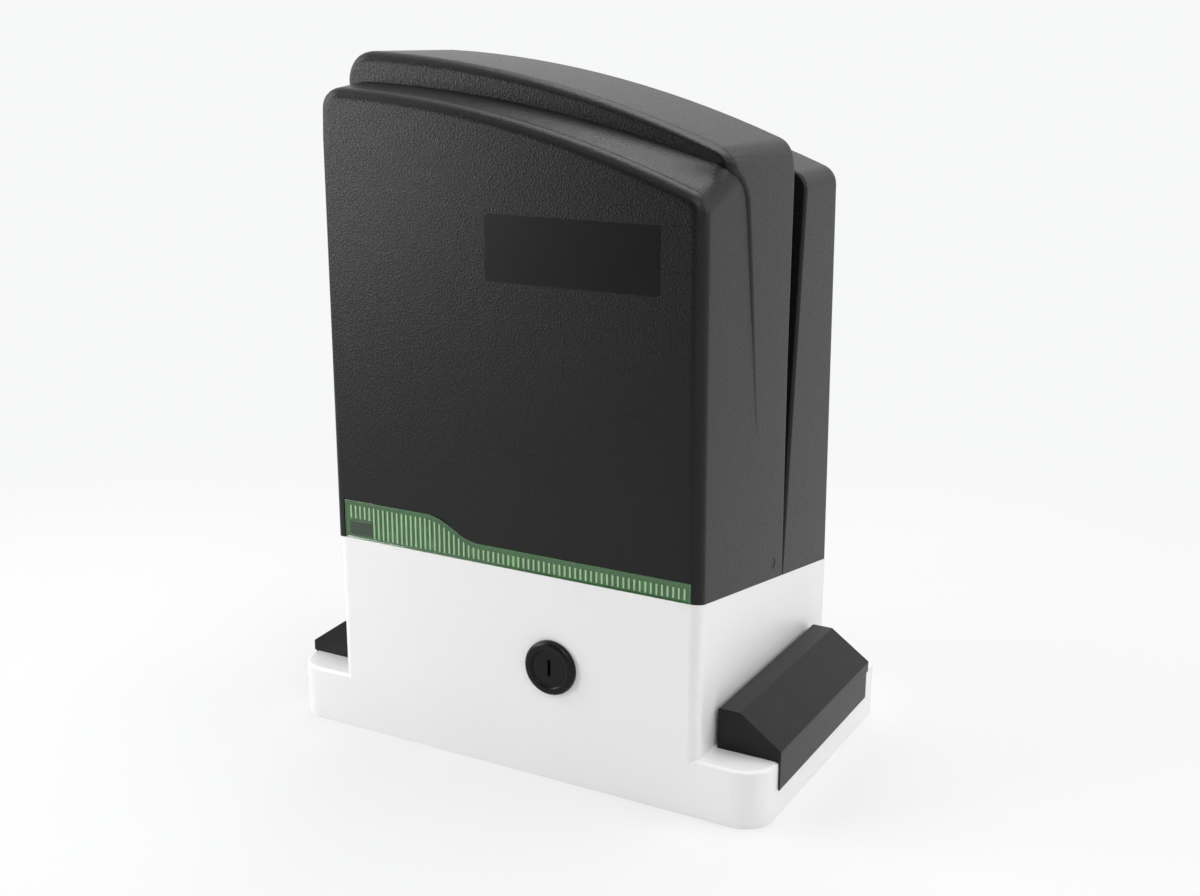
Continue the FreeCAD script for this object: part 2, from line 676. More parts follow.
def make_cover_shell():
    outside = join("cover_outside", [
        front_lobe(), ridge_lobe(), rear_lobe(),
        lobe("cover_core", 0, half_depth / 2, dim("groove_depth"), 0, 0, dim("cover_draft"))])
    screw_y = dim("cover_screw_y")
    screw_z = seam_at(screw_y) + dim("cover_screw_rise")
    step = 1
    side_hole = part_cylinder("cover_screw_through", (-half_width - 1, screw_y, screw_z), "x",
                              dim("cover_screw_shank") / 2 + joint_gap, dim("body_width") + 2)
    starts = {"left": -half_width - 1, "right": half_width - dim("cover_wall") + step}
    heads = [part_cylinder(f"cover_screw_seat_{side}", (start, screw_y, screw_z), "x",
                           dim("cover_screw_hole") / 2, dim("cover_wall") - step + 1)
             for side, start in starts.items()]
    window = lens_block("lens_window", 0, -half_depth - 1, -half_depth + dim("cover_wall") + 1)
    shell = cut("cover_shell_solid", outside, [cover_hollow(), seam_wedge(), window, side_hole, *heads])
    return node(shell, "cover_shell")


def make_status_lens():
    """The green lens: an S-shaped strip with fine upright ribs on its inner face."""
    front_y = -half_depth
    plate = lens_block("lens_plate", 0, front_y, front_y + dim("lens_thickness"))
    count = int((2 * SIZES["lens_half"] - 8) / SIZES["lens_rib_pitch"])
    ribs = []
    for number in range(count):
        x = -dim("lens_half") + 5 + dim("lens_rib_pitch") * number
        tall = x.value < SIZES["lens_step"] - SIZES["lens_step_width"] / 2 - 3
        rib_top = dim("lens_tall") if tall else dim("lens_low")
        ribs.append(part_box(
            f"lens_rib_{number}",
            (x, front_y + dim("lens_thickness"), dim("seam_front") + 1.5),
            (x + dim("lens_rib_width"), front_y + dim("lens_thickness") + dim("lens_rib_depth"),
             dim("seam_front") + rib_top - 1.5)))
    return node(cut("status_lens_solid", join("lens_with_ribs", [plate, *ribs]), [seam_wedge()]),
                "status_lens")


def make_cover_screws():
    screw_y = dim("cover_screw_y")
    screw_z = seam_at(screw_y) + dim("cover_screw_rise")
    seat = half_width - dim("cover_wall") + 1
    members = []
    for side in (-1, 1):
        place = (seat * side, screw_y, screw_z)
        members.append(screw(f"cover_screw_{'left' if side < 0 else 'right'}", place, "x",
                             dim("cover_screw_hole") / 2 - running_gap, 1.6,
                             dim("cover_screw_shank") / 2, 8, reverse=side < 0))
    node(group("cover_screw_pair", members), "cover_screws")
    lip_inside = half_width - dim("cover_wall") - joint_gap - dim("lip_thickness")
    thick, half = 3, 4
    nuts = []
    for name, start in (("left", -lip_inside + joint_gap), ("right", lip_inside - joint_gap - thick)):
        block = part_box(f"cover_nut_block_{name}", (start, screw_y - half, screw_z - half),
                         (start + thick, screw_y + half, screw_z + half))
        bore = part_cylinder(f"cover_nut_bore_{name}", (start - 1, screw_y, screw_z), "x",
                             dim("cover_screw_shank") / 2 + running_gap, thick + 2)
        nuts.append(cut(f"cover_nut_{name}", block, [bore]))
    node(group("cover_nut_pair", nuts), "cover_nuts")


# ---------------------------------------------------------------------------------------------
# Anchor covers and cable grommet
# ---------------------------------------------------------------------------------------------
def cap_outline(side, wall):
    """Front outline of an anchor cover: flat top, long slope, lip and hanging flap."""
    inner = cap_inner_x + wall
    edge = foot_half + dim("cap_overhang")
    top = dim("cap_top") - wall
    foot = dim("foot_height")
    flat = cap_inner_x + dim("cap_flat")
    lip = dim("cap_lip") - wall
    points = [(inner, foot - wall), (inner, top), (flat, top), (edge - wall, lip),
              (edge - wall, foot - wall)]
    return [(x * side, z) for x, z in points]


def make_anchor_cover(side, label):
    wall = dim("cap_wall")
    front_y, rear_y = dim("cap_front"), dim("cap_rear")
    body = new_body(label)
    pad(body, f"{label}_block", "front", front_y, rear_y,
        lambda sketch: draw_polygon(sketch, cap_outline(side, size_of(0))))
    is_long = lambda e: runs_along(e, Vector(0, 1, 0)) and e.Vertexes[0].Z > SIZES["foot_height"] + 1
    round_edges(body, f"{label}_soft_edges", 1.2, is_long)
    pocket(body, f"{label}_hollow", "front", front_y + wall, rear_y - wall,
           lambda sketch: draw_polygon(sketch, cap_outline(side, wall)))
    flap_x = foot_half + joint_gap
    flap_edge = foot_half + dim("cap_overhang") - 0.5
    pad(body, f"{label}_flap", "front", front_y + 1, rear_y - 1, lambda sketch: draw_rectangle(
        sketch, (flap_x * side, dim("cap_flap_low")), (flap_edge * side, dim("cap_lip") - 1)))
    hook_x = dim("anchor_spacing_x") / 2 - dim("anchor_pocket_width") / 2 + joint_gap
    hook_y = dim("anchor_shift") - dim("anchor_pocket_length") / 2 + 20
    hook_low = dim("foot_height") - 8

    def hooks(sketch):
        for name, place in (("f", hook_y), ("r", hook_y + dim("anchor_pocket_length") - 52)):
            draw_rectangle(sketch, (hook_x * side, place), ((hook_x + 2) * side, place + 12), name)
    pad(body, f"{label}_hooks", "top", hook_low, dim("cap_top") - wall - 1, hooks)
    return node(body, label)


def make_cable_grommet():
    flange, lip = dim("grommet_flange"), 2.5
    outer, inner = dim("grommet_hole") - running_gap, dim("grommet_bore")
    wide = dim("grommet_hole") + flange
    body = new_body("cable_grommet", (dim("grommet_x"), dim("grommet_y"), 0))
    floor = dim("base_floor")
    outline = [(inner, 0.5), (outer, 0.5), (outer, floor), (wide, floor), (wide, floor + lip),
               (inner, floor + lip + 3)]
    revolve(body, "grommet", "front", "V_Axis", lambda sketch: draw_polygon(sketch, outline))
    return node(body, "cable_grommet")


# ---------------------------------------------------------------------------------------------
# Release lock: bezel, nut, turning plug with its wedge cam, and the rod that it pushes
# ---------------------------------------------------------------------------------------------
def on_axis(y):
    return axis_x, size_of(y), axis_z


def turned(label, points, place):
    """A part turned about Y. Each point is a radius and a place along the axis."""
    body = new_body(label, place)
    outline = [(radius, along_axis) for radius, along_axis in points]
    revolve(body, f"{label}_turned", "top", "V_Axis", lambda sketch: draw_polygon(sketch, outline))
    return body


front_face = -half_depth
barrel_end = front_face + dim("barrel_length")
plug_fit = running_gap


def make_lock_bezel():
    outer, proud = dim("bezel_radius"), dim("bezel_proud")
    recess = dim("plug_radius") + plug_fit
    bore = dim("plug_shank") + plug_fit
    body = new_body("lock_bezel", on_axis(front_face))
    floor = -dim("bezel_floor")
    ring = [(bore, floor), (recess, floor), (recess, -proud), (outer, -proud), (outer, 0),
            (dim("barrel_radius"), 0), (dim("barrel_radius"), dim("barrel_length")),
            (bore, dim("barrel_length"))]
    revolve(body, "bezel_turned", "top", "V_Axis", lambda sketch: draw_polygon(sketch, ring))
    front = -SIZES["bezel_proud"]
    outer_rim = 2 * math.pi * SIZES["bezel_radius"]
    round_edges(body, "bezel_rim", 2.2, lambda e: in_plane(e, front) and e.Length > outer_rim - 1)
    round_edges(body, "bezel_inner_rim", 1.2, lambda e: in_plane(e, front) and e.Length < outer_rim - 20)
    return node(body, "lock_bezel")


def in_plane(edge, y):
    return all(abs(vertex.Y - y) < 0.01 for vertex in edge.Vertexes)


def make_lock_nut():
    nut = dim("lock_nut_thickness")
    body = new_body("lock_nut", on_axis(front_face + dim("base_wall")))
    start = 0.5

    def hexagon(sketch):
        radius = dim("barrel_radius") + 5
        points = [(radius * round(math.cos(math.radians(60 * i)), 6),
                   radius * round(math.sin(math.radians(60 * i)), 6)) for i in range(6)]
        draw_polygon(sketch, points)
        draw_circle(sketch, (0, 0), dim("barrel_radius") + running_gap)
    pad(body, "nut_blank", "front", start, nut + start, hexagon)
    return node(body, "lock_nut")


def make_lock_plug():
    proud = dim("bezel_proud") - 1
    head, shank = dim("plug_radius"), dim("plug_shank")
    length = dim("barrel_length") + joint_gap
    back = -dim("bezel_floor") - 0.1
    body = turned("lock_plug", [(0, -proud), (head, -proud), (head, back), (shank, back),
                                (shank, length), (0, length)], on_axis(front_face))
    slot = 0.9
    pocket(body, "keyway", "front", -proud - 1, -proud + 6, lambda sketch: draw_rectangle(
        sketch, (-slot, -4.2), (slot, 4.6)))
    return node(body, "lock_plug")


def make_release_cam():
    """A cylinder cut off at a slant: a quarter turn pushes the rod's offset pin back by the lift."""
    start = barrel_end + joint_gap
    radius, length, lift = dim("cam_radius"), dim("cam_length"), dim("cam_lift")
    pin_radius = radius - 4
    rise = lift / pin_radius * radius
    body = turned("release_cam", [(0, 0), (radius, 0), (radius, length), (0, length)], on_axis(start))
    middle = length - rise
    slant = [(length + 1, radius + 1), (middle - rise, radius + 1), (length, -radius), (length + 1, -radius)]
    pocket(body, "cam_slant", "side", -radius - 1, radius + 1, lambda sketch: draw_polygon(sketch, slant))
    return node(body, "release_cam")


def make_release_rod():
    """The rod's disc carries a pin above the axis, against the low side of the cam."""
    cam_start = barrel_end + joint_gap
    radius, lift = dim("cam_radius"), dim("cam_lift")
    pin_radius = radius - 4
    rise = lift / pin_radius * radius
    face = cam_start + dim("cam_length") - rise
    pin_y = face - lift + 1.6
    disc_y = cam_start + dim("cam_length") + 0.6
    rod_end = dim("clutch_pin_y") - dim("clutch_pin_radius") - 0.2
    disc = part_cylinder("rod_disc", on_axis(disc_y), "y", radius, 2.5)
    pin = part_cylinder("rod_pin", (axis_x, pin_y, axis_z + pin_radius), "y", 2, disc_y - pin_y + 1)
    stem = part_cylinder("rod_stem", on_axis(disc_y), "y", dim("rod_radius"), rod_end - disc_y)
    return node(join("release_rod_solid", [disc, pin, stem]), "release_rod")


# ---------------------------------------------------------------------------------------------
# Output line: shaft, bearings, wheel, dog clutch, pinion
# ---------------------------------------------------------------------------------------------
def involute_profile(module, teeth, backlash, phase, addendum=1.0, dedendum=1.25):
    """Closed spur-gear outline in the XZ plane, with a tooth centred at the phase angle from +X to +Z."""
    pitch = module * teeth / 2
    tip, root = pitch + addendum * module, pitch - dedendum * module
    pressure = math.radians(20)
    base = pitch * math.cos(pressure)
    involute = lambda angle: math.tan(angle) - angle
    half_tooth = (math.pi * module / 2 - backlash) / 2 / pitch
    start = max(base, root)
    flank = []
    steps = 4
    for step in range(steps + 1):
        radius = start + (tip - start) * step / steps
        angle = half_tooth + involute(pressure) - involute(math.acos(min(1, base / radius)))
        flank.append((radius, angle))

    def at(radius, angle):
        return Vector(radius * math.cos(angle), 0, radius * math.sin(angle))
    edges = []
    last = None
    first = None
    for tooth in range(teeth):
        centre = phase + 2 * math.pi * tooth / teeth
        right = [at(r, centre - a) for r, a in flank]
        left = [at(r, centre + a) for r, a in reversed(flank)]
        root_right = at(root, centre - flank[0][1])
        root_left = at(root, centre + flank[0][1])
        if last is not None:
            edges.append(root_arc(last, root_right, root))
        else:
            first = root_right
        if (root_right - right[0]).Length > 1e-6:
            edges.append(Part.LineSegment(root_right, right[0]).toShape())
        edges.append(spline(right))
        edges.append(Part.Arc(right[-1], at(tip, centre), left[0]).toShape())
        edges.append(spline(left))
        if (root_left - left[-1]).Length > 1e-6:
            edges.append(Part.LineSegment(left[-1], root_left).toShape())
        last = root_left
    edges.append(root_arc(last, first, root))
    return Part.Wire(edges)


def root_arc(first, last, radius):
    middle = (first + last).normalize() * radius
    return Part.Arc(first, middle, last).toShape()


def spline(points):
    curve = Part.BSplineCurve()
    curve.interpolate(points)
    return curve.toShape()


def feature_from(shape, label, place):
    """A Part::Feature for a form that neither a sketch feature nor a primitive makes."""
    feature = doc.addObject("Part::Feature", label)
    feature.Shape = shape
    for axis, size in zip("xyz", place):
        bind(feature, f"Placement.Base.{axis}", size)
    return feature


def dog(centre_angle, start, length, inner, width, radial):
    block = Part.makeBox(radial, length, width, Vector(inner, start, -width / 2))
    block.rotate(Vector(), Vector(0, 1, 0), centre_angle)
    return block


def make_output_shaft():
    radius = dim("shaft_radius")
    front, rear = dim("shaft_front"), dim("shaft_rear")
    body = turned("output_shaft", [(0, 0), (radius, 0), (radius, rear - front), (0, rear - front)],
                  on_axis(front))
    pin_place = dim("clutch_pin_y") - front
    pocket(body, "rod_bore", "front", 0, pin_place + dim("cam_lift") + dim("clutch_pin_radius") + 1,
           lambda sketch: draw_circle(sketch, (0, 0), dim("rod_radius") + running_gap))
    slot = dim("clutch_pin_radius") + running_gap
    pocket(body, "pin_slot", "top", -radius - 1, radius + 1, lambda sketch: draw_rectangle(
        sketch, (-slot, pin_place - slot), (slot, pin_place + slot + dim("cam_lift"))))
    key_low = dim("pinion_front") + 4 - front
    key_high = dim("pinion_front") + dim("pinion_width") - 4 - front
    pocket(body, "keyway_seat", "top", radius - dim("key_depth"), radius + 1, lambda sketch: draw_rectangle(
        sketch, (-dim("key_width") / 2, key_low), (dim("key_width") / 2, key_high)))
    pocket(body, "end_thread", "front", rear - front - 22, rear - front, lambda sketch: draw_circle(
        sketch, (0, 0), dim("pinion_bolt_radius") + running_gap))
    return node(body, "output_shaft")


def make_drive_pinion():
    module, teeth = SIZES["pinion_module"], SIZES["pinion_teeth"]
    width = SIZES["pinion_width"]
    outline = involute_profile(module, teeth, SIZES["gear_backlash"], math.pi / teeth)
    solid = Part.Face(outline).extrude(Vector(0, width, 0))
    hub = Part.makeCylinder(21, 4, Vector(0, -3.5, 0), Vector(0, 1, 0))
    bore = Part.makeCylinder(SIZES["shaft_radius"] + SIZES["running_gap"] / 2, width + 6, Vector(0, -5, 0),
                             Vector(0, 1, 0))
    key = Part.makeBox(SIZES["key_width"] + 0.1, width + 6, SIZES["key_depth"],
                       Vector(-SIZES["key_width"] / 2 - 0.05, -5, SIZES["shaft_radius"] - 0.5))
    return node(feature_from(solid.fuse(hub).cut(bore).cut(key), "drive_pinion_solid",
                             on_axis(dim("pinion_front"))), "drive_pinion")


def make_pinion_fasteners():
    width, radius = dim("key_width"), dim("shaft_radius")
    low = (axis_x - width / 2, dim("pinion_front") + 4.1, axis_z + radius - dim("key_depth"))
    high = (axis_x + width / 2, dim("pinion_front") + dim("pinion_width") - 4.1,
            axis_z + radius + dim("key_depth") - 0.6)
    node(part_box("pinion_key_solid", low, high), "pinion_key")
    washer_y = dim("pinion_front") + dim("pinion_width") + 2
    node(part_ring("pinion_washer_solid", on_axis(washer_y), "y", radius + 5,
                   dim("pinion_bolt_radius") + joint_gap, 2), "pinion_washer")
    bolt = screw("pinion_bolt_solid", on_axis(washer_y + 2), "y", dim("pinion_bolt_radius") * 1.7, 5,
                 dim("pinion_bolt_radius"), 20)
    node(bolt, "pinion_bolt")


def make_bearings():
    fit = running_gap
    for label, y in (("front_shaft_bearing", dim("front_bearing_y")),
                     ("rear_shaft_bearing", dim("rear_bearing_y"))):
        body = turned(label, bearing_outline(dim("shaft_radius") + fit, dim("bearing_radius"),
                                             dim("bearing_width")), on_axis(y))
        node(body, label)
    for label, z in (("lower_worm_bearing", dim("worm_bearing_low")), ("upper_worm_bearing", worm_top_z()),
                     ("motor_top_bearing", motor_top_bearing_z())):
        body = new_body(label, (worm_x, 0, z))
        outline = bearing_outline(dim("motor_shaft_radius") + fit, dim("small_bearing_radius"),
                                  dim("small_bearing_width"))
        revolve(body, f"{label}_turned", "front", "V_Axis", lambda sketch: draw_polygon(sketch, outline))
        node(body, label)


def bearing_outline(bore, outer, width):
    """Half section of a sealed ball bearing: two rings with a recessed shield between them."""
    ring = (outer - bore) * 0.28
    step = 0.5
    return [(bore, 0), (bore + ring, 0), (bore + ring, step), (outer - ring, step), (outer - ring, 0),
            (outer, 0), (outer, width), (outer - ring, width), (outer - ring, width - step),
            (bore + ring, width - step), (bore + ring, width), (bore, width)]


def worm_top_z():
    return dim("gearbox_top") - dim("small_bearing_width")


def motor_base_z():
    return dim("gearbox_top")


def stator_low_z():
    return motor_base_z() + dim("bell_height")


def stator_high_z():
    return stator_low_z() + dim("stator_height")


def motor_top_bearing_z():
    return stator_high_z() + dim("bell_height") - dim("small_bearing_width") + 4


def make_worm_wheel():
    """Bronze wheel whose teeth are twisted to the worm's lead, with four dogs on its rear face."""
    module, teeth = SIZES["worm_module"], SIZES["wheel_teeth"]
    width = SIZES["wheel_width"]
    lead_slope = module * math.pi / (2 * math.pi * SIZES["worm_pitch_radius"])
    twist = lead_slope * width / (module * teeth / 2)
    phase = math.pi / teeth
    backlash = SIZES["gear_backlash"] / 2
    sections = []
    for end in (-1, 1):
        outline = involute_profile(module, teeth, backlash, phase - end * twist / 2)
        outline.translate(Vector(0, end * width / 2, 0))
        sections.append(outline)
    solid = Part.makeLoft(sections, True, True)
    hub_radius, hub = SIZES["shaft_radius"] + 4, SIZES["wheel_hub"]
    solid = solid.fuse(Part.makeCylinder(hub_radius, hub, Vector(0, -width / 2 - hub, 0), Vector(0, 1, 0)))
    for number in range(4):
        solid = solid.fuse(dog(90 * number, width / 2 - 0.5, SIZES["dog_height"] + 0.5, SIZES["dog_inner"],
                               SIZES["dog_width"], SIZES["dog_length"]))
    bore = Part.makeCylinder(SIZES["shaft_radius"] + SIZES["running_gap"], width + hub + 10,
                             Vector(0, -width / 2 - hub - 1, 0), Vector(0, 1, 0))
    return node(feature_from(solid.cut(bore), "worm_wheel_solid", on_axis(0)), "worm_wheel")


def clutch_front():
    return dim("wheel_width") / 2 + dim("dog_height") + joint_gap


def make_dog_clutch():
    outer = SIZES["clutch_radius"]
    length = SIZES["clutch_length"]
    solid = Part.makeCylinder(outer, length, Vector(), Vector(0, 1, 0))
    height = SIZES["dog_height"]
    for number in range(4):
        solid = solid.fuse(dog(45 + 90 * number, -height, height + 0.5, SIZES["dog_inner"],
                               SIZES["dog_width"], SIZES["dog_length"]))
    bore = Part.makeCylinder(SIZES["shaft_radius"] + SIZES["running_gap"], length + 2, Vector(0, -1, 0),
                             Vector(0, 1, 0))
    spring_seat = Part.makeCylinder(SIZES["spring_radius"] + 1, 6, Vector(0, length - 5, 0), Vector(0, 1, 0))
    pin_place = SIZES["clutch_pin_y"] - clutch_front().value
    pin_hole = Part.makeCylinder(SIZES["clutch_pin_radius"], 2 * outer + 2, Vector(0, pin_place, -outer - 1))
    solid = solid.cut(bore).cut(spring_seat).cut(pin_hole)
    node(feature_from(solid, "dog_clutch_solid", on_axis(clutch_front())), "dog_clutch")
    pin = part_cylinder("clutch_pin_solid",
                        (axis_x, dim("clutch_pin_y"), axis_z - dim("clutch_radius") + 0.5), "z",
                        dim("clutch_pin_radius"), 2 * dim("clutch_radius") - 1)
    node(pin, "clutch_pin")


def make_clutch_spring():
    """The spring at its pressed length, on the shaft between its collar and the clutch."""
    wire = SIZES["spring_wire"]
    radius = SIZES["spring_radius"] - wire
    length = SIZES["spring_length"] - 2 * wire
    turns = 4
    helix = Part.makeHelix(length / turns, length, radius)
    profile = Part.Wire(Part.makeCircle(wire, Vector(radius, 0, 0), Vector(0, 1, 0)))
    coil = Part.Wire(helix).makePipeShell([profile], True, True)
    coil.rotate(Vector(), Vector(1, 0, 0), -90)
    start = dim("spring_collar_y") - dim("spring_length") + wire
    node(feature_from(coil, "clutch_spring_coil", on_axis(start)), "clutch_spring")
    collar = part_ring("spring_collar_solid", on_axis(dim("spring_collar_y")), "y", dim("shaft_radius") + 6,
                       dim("shaft_radius") + running_gap / 2, 4)
    node(collar, "spring_collar")


# ---------------------------------------------------------------------------------------------
# Worm and rotor
# ---------------------------------------------------------------------------------------------
def make_worm_shaft():
    """The motor's shaft with the single-start right-hand worm cut on its lower end."""
    module = SIZES["worm_module"]
    pitch_radius = SIZES["worm_pitch_radius"]
    lead = math.pi * module
    root, tip = pitch_radius - 1.25 * module, pitch_radius + module
    turns = SIZES["worm_turns"]
    core_reach = turns * lead / 2 + 3
    centre = SIZES["axis_z"]
    backlash = SIZES["gear_backlash"]
    flank = math.tan(math.radians(20))
    half = (lead / 2 - backlash) / 2
    base = root - 0.4
    points = [Vector(base, 0, -half - (pitch_radius - base) * flank), Vector(tip, 0, -half + module * flank),
              Vector(tip, 0, half - module * flank), Vector(base, 0, half + (pitch_radius - base) * flank)]
    profile = Part.makePolygon(points + points[:1])
    helix = Part.Wire(Part.makeHelix(lead, turns * lead, pitch_radius))
    thread = helix.makePipeShell([profile], True, True)
    thread.translate(Vector(0, 0, -turns * lead / 2))
    shaft_radius = SIZES["motor_shaft_radius"]
    low = SIZES["worm_bearing_low"] - centre
    high = motor_top_bearing_z().value + SIZES["small_bearing_width"] - 1 - centre
    core = Part.makeCylinder(root, 2 * core_reach, Vector(0, 0, -core_reach))
    journal = Part.makeCylinder(shaft_radius, high - low, Vector(0, 0, low))
    solid = core.fuse(journal).fuse(thread)
    return node(feature_from(solid, "worm_shaft_solid", (worm_x, 0, axis_z)), "worm_shaft")


def make_rotor():
    low, high = stator_low_z() + 2, stator_high_z() - 2
    body = new_body("rotor_core", (worm_x, 0, low))
    bore, outer = dim("motor_shaft_radius") + running_gap / 2, dim("rotor_radius")
    length = high - low
    ring_in, ring_out, ring = outer - 9, outer - 2, 5
    outline = [(bore, 0), (outer, 0), (outer, length), (bore, length)]
    revolve(body, "rotor_stack", "front", "V_Axis", lambda sketch: draw_polygon(sketch, outline))
    lower = [(ring_in, -ring), (ring_out, -ring), (ring_out, 0.1), (ring_in, 0.1)]
    revolve(body, "lower_end_ring", "front", "V_Axis", lambda sketch: draw_polygon(sketch, lower))
    upper = [(ring_in, length - 0.1), (ring_out, length - 0.1), (ring_out, length + ring),
             (ring_in, length + ring)]
    revolve(body, "upper_end_ring", "front", "V_Axis", lambda sketch: draw_polygon(sketch, upper))
    return node(body, "rotor_core")


# ---------------------------------------------------------------------------------------------
# Gearbox
# ---------------------------------------------------------------------------------------------
case_radius = wheel_radius + dim("worm_module") + 2.5
case_outer = case_radius + dim("gearbox_wall")
column_half = dim("small_bearing_radius") + 4
flange_thickness = 8


def lid_screw_places():
    """Six screws on a circle just inside the lid's rim, as offsets from the output axis."""
    reach = case_outer - 3.2
    for number in range(6):
        turn = math.radians(60 * number + 30)
        yield reach * round(math.cos(turn), 6), reach * round(math.sin(turn), 6)


def gearbox_foot_places():
    for x in (worm_x - column_half - 7, axis_x + case_outer - 2):
        for y in (dim("gearbox_front") + 7, dim("gearbox_rear") - 7):
            yield x, y


def motor_bolt_places():
    for side in (-1, 1):
        for end in (-1, 1):
            yield worm_x + dim("motor_bolt_offset") * side, dim("motor_bolt_offset") * end


def circles(places, radius):
    def draw(sketch):
        for number, place in enumerate(places):
            draw_circle(sketch, place, radius, f"c{number}")
    return draw


def motor_square(sketch):
    half = dim("motor_side") / 2
    draw_rectangle(sketch, (worm_x - half, -half), (worm_x + half, half))


def upright_edge(edge):
    return runs_along(edge, Vector(0, 0, 1))


def make_gearbox_housing():
    floor, top = dim("base_floor"), dim("gearbox_top")
    front, rear = dim("gearbox_front"), dim("gearbox_rear")
    body = new_body("gearbox_housing")
    pad(body, "motor_flange", "top", top - flange_thickness, top, motor_square)
    round_edges(body, "flange_corners", dim("motor_corner"), upright_edge)
    pad(body, "wheel_case", "front", front, rear,
        lambda sketch: draw_circle(sketch, (axis_x, axis_z), case_outer))
    pad(body, "worm_case", "front", front, rear, lambda sketch: draw_rectangle(
        sketch, (worm_x - column_half, floor), (worm_x + column_half, top)))
    pad(body, "wheel_stand", "front", front, rear, lambda sketch: draw_rectangle(
        sketch, (worm_x, floor), (axis_x + case_outer - 8, axis_z - 14)))
    pad(body, "feet", "top", floor, floor + 9, lambda sketch: draw_rectangle(
        sketch, (worm_x - column_half - 14, front), (axis_x + case_outer + 5, rear)))
    pad(body, "neck", "front", rear, dim("neck_rear"),
        lambda sketch: draw_circle(sketch, (axis_x, axis_z), dim("neck_radius")))
    pad(body, "neck_rib", "side", axis_x - 3, axis_x + 3, lambda sketch: draw_polygon(
        sketch, [(rear, floor), (rear + 20, floor), (dim("neck_rear") - 8, axis_z - dim("neck_radius") + 1),
                 (rear, axis_z - dim("neck_radius") + 1)]))
    pocket(body, "wheel_room", "front", front, dim("wheel_width") / 2 + 3,
           lambda sketch: draw_circle(sketch, (axis_x, axis_z), case_radius))
    pocket(body, "clutch_bore", "front", front, dim("rear_bearing_y") + dim("bearing_width"),
           lambda sketch: draw_circle(sketch, (axis_x, axis_z), dim("bearing_radius") + running_gap))
    pocket(body, "seal_bore", "front", dim("rear_bearing_y"), dim("neck_rear"),
           lambda sketch: draw_circle(sketch, (axis_x, axis_z), dim("seal_radius") + running_gap))
    pocket(body, "worm_bore", "top", dim("worm_bearing_low"), top,
           lambda sketch: draw_circle(sketch, (worm_x, 0), dim("small_bearing_radius") + running_gap))
    pocket(body, "flange_holes", "top", top - flange_thickness, top,
           circles(list(motor_bolt_places()), dim("motor_bolt_radius") + running_gap))
    pocket(body, "foot_holes", "top", floor, floor + 9, 
           circles(list(gearbox_foot_places()), dim("gearbox_screw_radius") + running_gap))
    lid_threads = [(axis_x + x, axis_z + z) for x, z in lid_screw_places()]
    pocket(body, "lid_threads", "front", front, front + 14, circles(lid_threads, 2.1))
    return node(body, "gearbox_housing")


def make_gearbox_lid():
    front = dim("gearbox_front")
    thick = dim("lid_thickness")
    bearing_rear = dim("front_bearing_y") + dim("bearing_width")
    body = new_body("gearbox_lid")
    pad(body, "lid_plate", "front", front - thick, front,
        lambda sketch: draw_circle(sketch, (axis_x, axis_z), case_outer))
    rim = lambda e: in_plane(e, SIZES["gearbox_front"] - SIZES["lid_thickness"])
    round_edges(body, "lid_rim", 2, rim)
    pad(body, "bearing_boss", "front", front, bearing_rear,
        lambda sketch: draw_circle(sketch, (axis_x, axis_z), dim("bearing_radius") + 3.5))
    pocket(body, "bearing_seat", "front", dim("front_bearing_y"), bearing_rear,
           lambda sketch: draw_circle(sketch, (axis_x, axis_z), dim("bearing_radius") + running_gap))
    pocket(body, "rod_hole", "front", front - thick, bearing_rear,
           lambda sketch: draw_circle(sketch, (axis_x, axis_z), dim("rod_radius") + running_gap))
    holes = [(axis_x + x, axis_z + z) for x, z in lid_screw_places()]
    pocket(body, "lid_holes", "front", front - thick, front, circles(holes, 2.3))
    return node(body, "gearbox_lid")


def make_gearbox_small_parts():
    seal_y = dim("neck_rear") - 2 - dim("seal_width")
    seal = part_ring("shaft_seal_ring", on_axis(seal_y), "y", dim("seal_radius"),
                     dim("shaft_radius") + running_gap, dim("seal_width"))
    node(seal, "shaft_seal")
    lid_front = dim("gearbox_front") - dim("lid_thickness")
    lid_screws = [screw(f"lid_screw_{number}", (axis_x + x, lid_front, axis_z + z), "y", 3, 3, 2, 16,
                        reverse=True) for number, (x, z) in enumerate(lid_screw_places())]
    node(group("lid_screw_set", lid_screws), "gearbox_lid_screws")
    foot_top = dim("base_floor") + 9
    foot_screws = [screw(f"foot_screw_{number}", (x, y, foot_top), "z", 4.5, 3.5,
                         dim("gearbox_screw_radius"), 14)
                   for number, (x, y) in enumerate(gearbox_foot_places())]
    node(group("foot_screw_set", foot_screws), "gearbox_foot_screws")


# ---------------------------------------------------------------------------------------------
# Motor
# ---------------------------------------------------------------------------------------------
def square_block(label, low_z, high_z):
    body = new_body(label)
    pad(body, f"{label}_block", "top", low_z, high_z, motor_square)
    round_edges(body, f"{label}_corners", dim("motor_corner"), upright_edge)
    return body


def drill_motor_bolts(body, label, low_z, high_z):
    pocket(body, f"{label}_bolt_holes", "top", low_z, high_z,
           circles(list(motor_bolt_places()), dim("motor_bolt_radius") + joint_gap))


